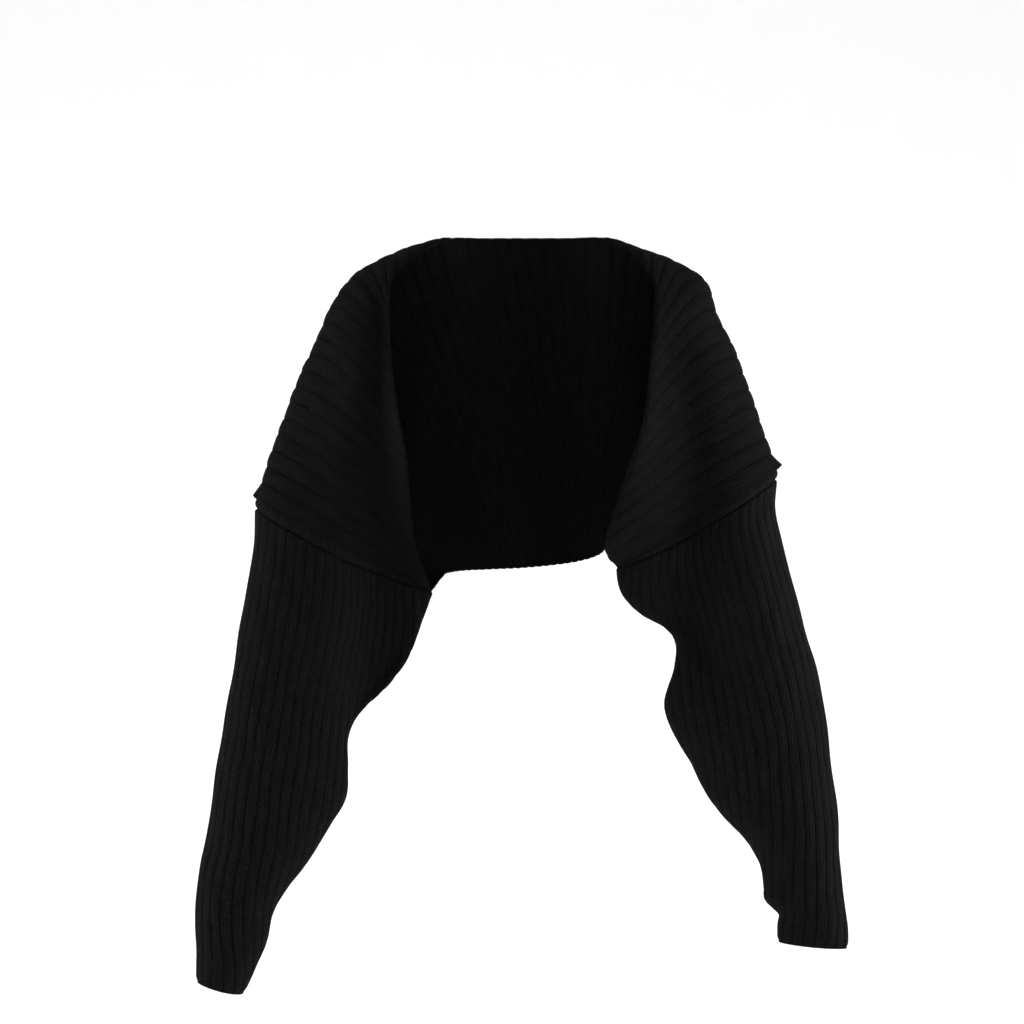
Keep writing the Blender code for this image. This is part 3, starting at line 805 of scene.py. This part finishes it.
sleeve_knit_left, LEFT_CUT, LEFT_AREA, LEFT_RIM, LEFT_OUT = knit_sleeve(
    "sleeve_knit_left", SLEEVE_LEFT, -1)
sleeve_knit_right, RIGHT_CUT, RIGHT_AREA, RIGHT_RIM, RIGHT_OUT = knit_sleeve(
    "sleeve_knit_right", SLEEVE_RIGHT, 1)

# %% [markdown]
# ## The knit's material
#
# The cloth looks like a wool blend, dyed nearly black and knitted in broad ribs. It has no
# gloss: the fine fibres that stand off the yarn catch a little light at the edge of every form,
# which sheen gives. The stitches are small Vs. The real ones are too fine to show, so they are
# drawn coarser, about 3.8 mm wide and 3.1 mm high. They follow the flat places of the points,
# and so they follow the ribs as the real ones do. Painted shade darkens the valleys between the
# ribs a little, most of all where the ribs are deep, and also the gaps between the stitches'
# legs and the line that parts the plain band from the ribs.

# %% Knit material
BODY_RIB_PITCH = float(RIDGE_AT[-1]) / BODY_RIBS        # mm
BODY_STITCHES, SLEEVE_STITCHES = 5, 3   # across one rib
COURSE = 3.1                    # mm from one row of stitches to the next
V_CLIMB = 0.62                  # how far the legs of a V climb, in rows of stitches
STITCH_RELIEF = 1.3             # how far a stitch stands out, in mm
VALLEY_SHARP = 5.0              # a higher power makes the painted shade in the valleys narrower
VALLEY_SHADE = 0.27             # how much darker the painted shade makes a valley
PARTING_SHADE = 1.5             # and the painted shade of the line by the plain band, against a valley's
PARTING_WIDTH = 1.6             # half that line's width, in mm


def knit_material(name, rib, stitches, yarn, yarn_light):
    """Rib knit: the width of a rib in mm, its stitches, and the yarn's dark and light tones."""
    material, shader = new_material(name)

    def maths(operation, first, second=0.0, third=0.0):
        return node(material, "Math", {"operation": operation},
                    _0=first, _1=second, _2=third).outputs[0]

    flat = node(material, "UVMap", {"uv_map": "flat_cut"})
    split = node(material, "SeparateXYZ", _0=flat.outputs["UV"])
    # across: 0 at a stitch's middle, 1 at its sides
    column = maths("MULTIPLY", split.outputs["X"], stitches / (rib * MM))
    across = maths("ABSOLUTE", maths("SUBTRACT", maths("FRACT", column), 0.5))
    across = maths("MULTIPLY", across, 2.0)
    # up: each leg of the V climbs as it leaves the middle
    row = maths("MULTIPLY", split.outputs["Y"], 1 / (COURSE * MM))
    climb = maths("MULTIPLY_ADD", across, V_CLIMB, row)
    leg = maths("ABSOLUTE", maths("SUBTRACT", maths("FRACT", climb), 0.5))
    leg = maths("SUBTRACT", 1.0, maths("POWER", maths("MULTIPLY", leg, 2.0), 2.2))
    # the legs are round, and thin out at the stitch's sides and middle
    side = maths("SUBTRACT", 1.0, maths("POWER", across, 3.0))
    middle = maths("MINIMUM", maths("MULTIPLY_ADD", across, 2.6, 0.25), 1.0)
    stitch = maths("MULTIPLY", maths("MULTIPLY", leg, side), middle)
    # painted shade: 1 in the valley between two ribs, where the stitches lie turned away and in
    # shade
    painted_shade = maths("SUBTRACT", maths("FRACT", maths("MULTIPLY", column, 1 / stitches)), 0.5)
    painted_shade = maths("POWER", maths("MULTIPLY", maths("ABSOLUTE", painted_shade), 2.0),
                   VALLEY_SHARP)
    # a plain band has no valleys, and a line of painted shade over the groove parts it from the
    # ribs
    ribs = node(material, "SeparateXYZ",
                _0=node(material, "UVMap", {"uv_map": "ribs_from"}).outputs["UV"])
    start, deep = ribs.outputs["X"], ribs.outputs["Y"]
    ribbed = node(material, "Clamp", _0=maths("DIVIDE", start, GROOVE_WIDTH * MM)).outputs[0]
    # the painted shade is strongest where the ribs are deep
    painted_shade = maths("MULTIPLY", painted_shade, deep)
    painted_groove_shade = maths("DIVIDE", maths("ABSOLUTE", start), PARTING_WIDTH * MM)
    painted_groove_shade = node(material, "Clamp", _0=maths("SUBTRACT", 1.0, painted_groove_shade)).outputs[0]
    painted_groove_shade = maths("MULTIPLY", painted_groove_shade, PARTING_SHADE)
    painted_shade = maths("MAXIMUM", maths("MULTIPLY", painted_shade, ribbed), painted_groove_shade)
    # loose fibres and uneven yarn
    place = node(material, "TexCoord")
    fibre = node(material, "TexNoise", Vector=place.outputs["Object"], Scale=900.0, Detail=3.0)
    uneven_yarn = node(material, "TexNoise", Vector=place.outputs["Object"], Scale=260.0,
                       Detail=4.0, Roughness=0.65)
    relief = maths("MULTIPLY_ADD", fibre.outputs["Fac"], 0.5, stitch)
    bump = node(material, "Bump", Strength=1.0, Distance=STITCH_RELIEF * MM,
                Height=relief)
    streak = node(material, "CombineXYZ", _0=maths("MULTIPLY", split.outputs["X"], 330.0),
                  _1=maths("MULTIPLY", split.outputs["Y"], 26.0))
    streak = node(material, "TexNoise", Vector=streak.outputs[0], Scale=1.0, Detail=2.0)
    # tone: uneven yarn and each rib's own streaks, with painted shade in the gaps between the
    # stitches' legs, whose tops are lighter
    tone_and_painted_shade = maths("MULTIPLY_ADD", uneven_yarn.outputs["Fac"], 0.5,
                 maths("MULTIPLY", stitch, 0.3))
    tone_and_painted_shade = maths("MULTIPLY_ADD", streak.outputs["Fac"], 0.6, maths("SUBTRACT", tone_and_painted_shade, 0.06))
    # painted shade darkens the valleys and the line by the plain band
    tone_and_painted_shade = maths("SUBTRACT", tone_and_painted_shade, maths("MULTIPLY", painted_shade, VALLEY_SHADE))
    colour = node(material, "ValToRGB", Fac=tone_and_painted_shade)
    colour.color_ramp.elements[0].position = 0.12
    colour.color_ramp.elements[0].color = linear(yarn)
    colour.color_ramp.elements[1].position = 0.85
    colour.color_ramp.elements[1].color = linear(yarn_light)
    tree = material.node_tree
    tree.links.new(colour.outputs["Color"], shader.inputs["Base Color"])
    tree.links.new(bump.outputs["Normal"], shader.inputs["Normal"])
    matt_yarn(shader)
    return material


# The panel is knitted of the same yarn as the sleeves. Its light tone, 141414 against the
# sleeves' 171717, is painted shade that dims the panel's front.
black_wool_rib = knit_material("black_wool_rib", BODY_RIB_PITCH, BODY_STITCHES,
                               "030303", "141414")
black_wool_sleeve = knit_material("black_wool_sleeve", SLEEVE_RIB_PITCH, SLEEVE_STITCHES,
                                  "030303", "171717")
body_knit.data.materials.append(black_wool_rib)
for piece in (sleeve_knit_left, sleeve_knit_right):
    piece.data.materials.append(black_wool_sleeve)
print("materials:", black_wool_rib.name, black_wool_sleeve.name)

# %% [markdown]
# ## Bound-off edges
#
# A knitter closes the last row of stitches by passing each loop over the next one, which leaves
# a fine chain along the edge. One link of the chain is a small slanted bead of yarn, and two
# make a V. The same pair is repeated along the front edge, the hem and the cuffs.

# %% Chain along an edge
LINK = 3.15                     # mm from one V of the chain to the next
BEAD = (2.0, 0.95, 0.85)        # half a bead's length, width and height, in mm
BEAD_SLANT = 0.46               # radians that a bead is turned from the chain's line
BEAD_APART = 0.75               # mm from that line to a bead's middle
CHAIN_OUT = 0.4                 # mm that the chain lies outside the cloth's edge

yarn_black, yarn_shader = new_material("black_wool_yarn")
yarn_shader.inputs["Base Color"].default_value = linear("0c0c0c")
matt_yarn(yarn_shader)
twist = node(yarn_black, "TexNoise", Vector=node(yarn_black, "TexCoord").outputs["Object"],
             Scale=1400.0, Detail=2.0)
rough_yarn = node(yarn_black, "Bump", Strength=0.5, Distance=0.3 * MM,
                  Height=twist.outputs["Fac"])
yarn_black.node_tree.links.new(rough_yarn.outputs["Normal"], yarn_shader.inputs["Normal"])


def straight_chain(links):
    """A straight chain of Vs along X, made by doubling one V until there are enough."""
    mesh = bmesh.new()
    number = mesh.verts.layers.int.new("link")
    for slant in (-1, 1):
        bead = bmesh.ops.create_uvsphere(mesh, u_segments=7, v_segments=5, radius=1)["verts"]
        bmesh.ops.rotate(mesh, verts=bead, cent=(0, 0, 0), matrix=Matrix.Rotation(pi / 2, 3, "Y"))
        bmesh.ops.scale(mesh, verts=bead, vec=BEAD)
        bmesh.ops.rotate(mesh, verts=bead, cent=(0, 0, 0),
                         matrix=Matrix.Rotation(slant * BEAD_SLANT, 3, "Z"))
        bmesh.ops.translate(mesh, verts=bead, vec=(0, slant * BEAD_APART, 0))
    made = 1
    while made < links:
        copy = bmesh.ops.duplicate(mesh, geom=mesh.verts[:] + mesh.edges[:] + mesh.faces[:])
        moved = [part for part in copy["geom"] if isinstance(part, bmesh.types.BMVert)]
        bmesh.ops.translate(mesh, verts=moved, vec=(made * LINK, 0, 0))
        for vert in moved:
            vert[number] += made
        made *= 2
    spare = [vert for vert in mesh.verts if vert[number] >= links]
    bmesh.ops.delete(mesh, geom=spare, context="VERTS")
    return mesh, np.array([vert[number] for vert in mesh.verts])


def chain(name, rims):
    """Vs of yarn along each rim; a rim is its points and the directions out of the cloth."""
    counts = [int(distances(points)[-1] / LINK) for points, _ in rims]
    mesh, number = straight_chain(sum(counts))
    straight = np.array([vert.co for vert in mesh.verts])
    first = 0
    for (points, outward), links in zip(rims, counts):
        part = (number >= first) & (number < first + links)
        at = distances(points)
        spots = (straight[part, 0] / LINK - first + 0.5) * at[-1] / links
        run = unit(along(points, spots + 1, at) - along(points, spots - 1, at))
        out = unit(along(outward, spots, at))
        wide = np.cross(run, out)
        straight[part] = (along(points, spots, at) + wide * straight[part, 1:2]
                          + out * (CHAIN_OUT + straight[part, 2:3])) * MM
        first += links
    for vert, place in zip(mesh.verts, straight):
        vert.co = place
    bmesh.ops.recalc_face_normals(mesh, faces=mesh.faces[:])
    piece = finished(mesh, name, yarn_black)
    print(f"{name}: {sum(counts)} links, {len(piece.data.polygons)} faces")
    return piece


# the chain ends half a rib before each sleeve seam
inner = slice(BODY_LINES // 2, -(BODY_LINES // 2))
edge_chain = chain("edge_chain", [(BODY_RIM[edge][inner], BODY_OUT[edge][inner])
                                  for edge in ("front", "hem")])
cuff_chain_left = chain("cuff_chain_left", [(LEFT_RIM, LEFT_OUT)])
cuff_chain_right = chain("cuff_chain_right", [(RIGHT_RIM, RIGHT_OUT)])

# %% [markdown]
# ## Attaching the pieces
#
# Every piece rides on the garment's one body. The three cloth pieces stand for the three solid
# ones, which are hidden.

# %% Riding and replacing
for piece in (body_knit, sleeve_knit_left, sleeve_knit_right, edge_chain, cuff_chain_left,
              cuff_chain_right):
    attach(piece, "root")
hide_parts("body_panel")
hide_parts("sleeve_left")
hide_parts("sleeve_right")
